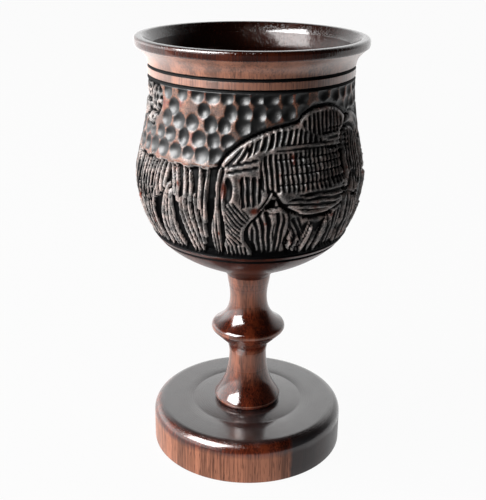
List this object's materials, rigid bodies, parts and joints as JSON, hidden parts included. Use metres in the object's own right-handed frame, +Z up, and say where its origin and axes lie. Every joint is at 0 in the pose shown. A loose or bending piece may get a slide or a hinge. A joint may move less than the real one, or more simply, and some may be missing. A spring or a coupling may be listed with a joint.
{
  "type": "carved goblet",
  "caption": "Turned hardwood goblet with a carved round bowl and flared lip, on a slim stem with a knop and a thick disc foot, for holding drinks or for display.",
  "frame": {"origin": "middle of the face that the foot stands on", "axes": "+Z up along the turning axis, the carved front towards -Y, +X to the right seen from the front"},
  "size_m": [0.0805, 0.0806, 0.1523],
  "materials": {
    "carved_wood": "dark stained hardwood, carved and varnished, with red-brown wood showing on the ridges",
    "polished_wood": "turned red-brown hardwood, sanded fine and varnished to a high gloss",
    "foot_wood": "turned red-brown hardwood, varnished to a satin gloss, with faint turning rings"
  },
  "bodies": {
    "root": {"bowl": "carved_wood", "stem": "polished_wood", "foot": "foot_wood"}
  },
  "joints": []
}
